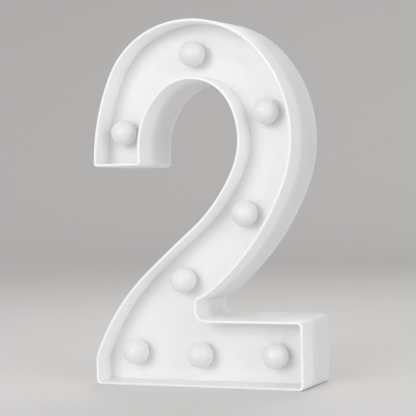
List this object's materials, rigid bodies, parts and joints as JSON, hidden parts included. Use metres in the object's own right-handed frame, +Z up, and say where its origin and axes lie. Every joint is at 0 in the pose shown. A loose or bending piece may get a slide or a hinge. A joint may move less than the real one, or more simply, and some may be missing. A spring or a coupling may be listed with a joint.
{
  "type": "light up marquee number",
  "caption": "Free-standing or wall-hung plastic figure two, a shallow tray with frosted globe bulbs on its recessed face, battery box, door and slide switch behind.",
  "frame": {"origin": "bottom centre of the foot, half way through the depth, on the surface it stands on", "axes": "+Z up, +Y to the back, +X to the right as seen from the front"},
  "size_m": [0.1354, 0.045, 0.2204],
  "materials": {
    "white_shell": "satin moulded",
    "frosted_globe": "frosted translucent",
    "clear_led": "clear resin",
    "board": "laminate",
    "steel": "plated",
    "red_lead": "insulation",
    "black_lead": "insulation",
    "switch_black": "moulded",
    "cell_wrap": "plain sleeve"
  },
  "bodies": {
    "figure": {"aa_cell_1": "cell_wrap", "aa_cell_2": "cell_wrap", "back_cover": "white_shell", "battery_box": "white_shell", "bulb_cover_1": "frosted_globe", "bulb_cover_2": "frosted_globe", "bulb_cover_3": "frosted_globe", "bulb_cover_4": "frosted_globe", "bulb_cover_5": "frosted_globe", "bulb_cover_6": "frosted_globe", "bulb_cover_7": "frosted_globe", "bulb_cover_8": "frosted_globe", "cell_contact_bridge": "steel", "cell_contact_negative": "steel", "cell_contact_positive": "steel", "cell_spring_1": "steel", "cell_spring_2": "steel", "cover_screw_1": "steel", "cover_screw_2": "steel", "cover_screw_3": "steel", "cover_screw_4": "steel", "cover_screw_5": "steel", "cover_screw_6": "steel", "cover_screw_7": "steel", "cover_screw_8": "steel", "feed_lead_battery": "red_lead", "feed_lead_black": "black_lead", "feed_lead_red": "red_lead", "front_housing": "white_shell", "led_1": "clear_led", "led_2": "clear_led", "led_3": "clear_led", "led_4": "clear_led", "led_5": "clear_led", "led_6": "clear_led", "led_7": "clear_led", "led_8": "clear_led", "led_board_1": "board", "led_board_2": "board", "led_board_3": "board", "led_board_4": "board", "led_board_5": "board", "led_board_6": "board", "led_board_7": "board", "led_board_8": "board", "pair_lead_black": "black_lead", "pair_lead_red": "red_lead", "splice_sleeve_black": "black_lead", "splice_sleeve_red": "black_lead", "switch_body": "switch_black", "switch_frame": "steel", "switch_terminals": "steel"},
    "door": {"battery_door": "white_shell"},
    "slider": {"switch_slider": "switch_black"}
  },
  "joints": [
    {"name": "door_hinge", "type": "hinge", "parent": "figure", "child": "door", "pos_m": [-0.01485, 0.0205, 0.02011], "axis": [0, 0, 1], "range_deg": [0, 75]},
    {"name": "switch_slide", "type": "slide", "parent": "figure", "child": "slider", "axis": [1, 0, 0], "range_m": [0, 0.003]}
  ]
}
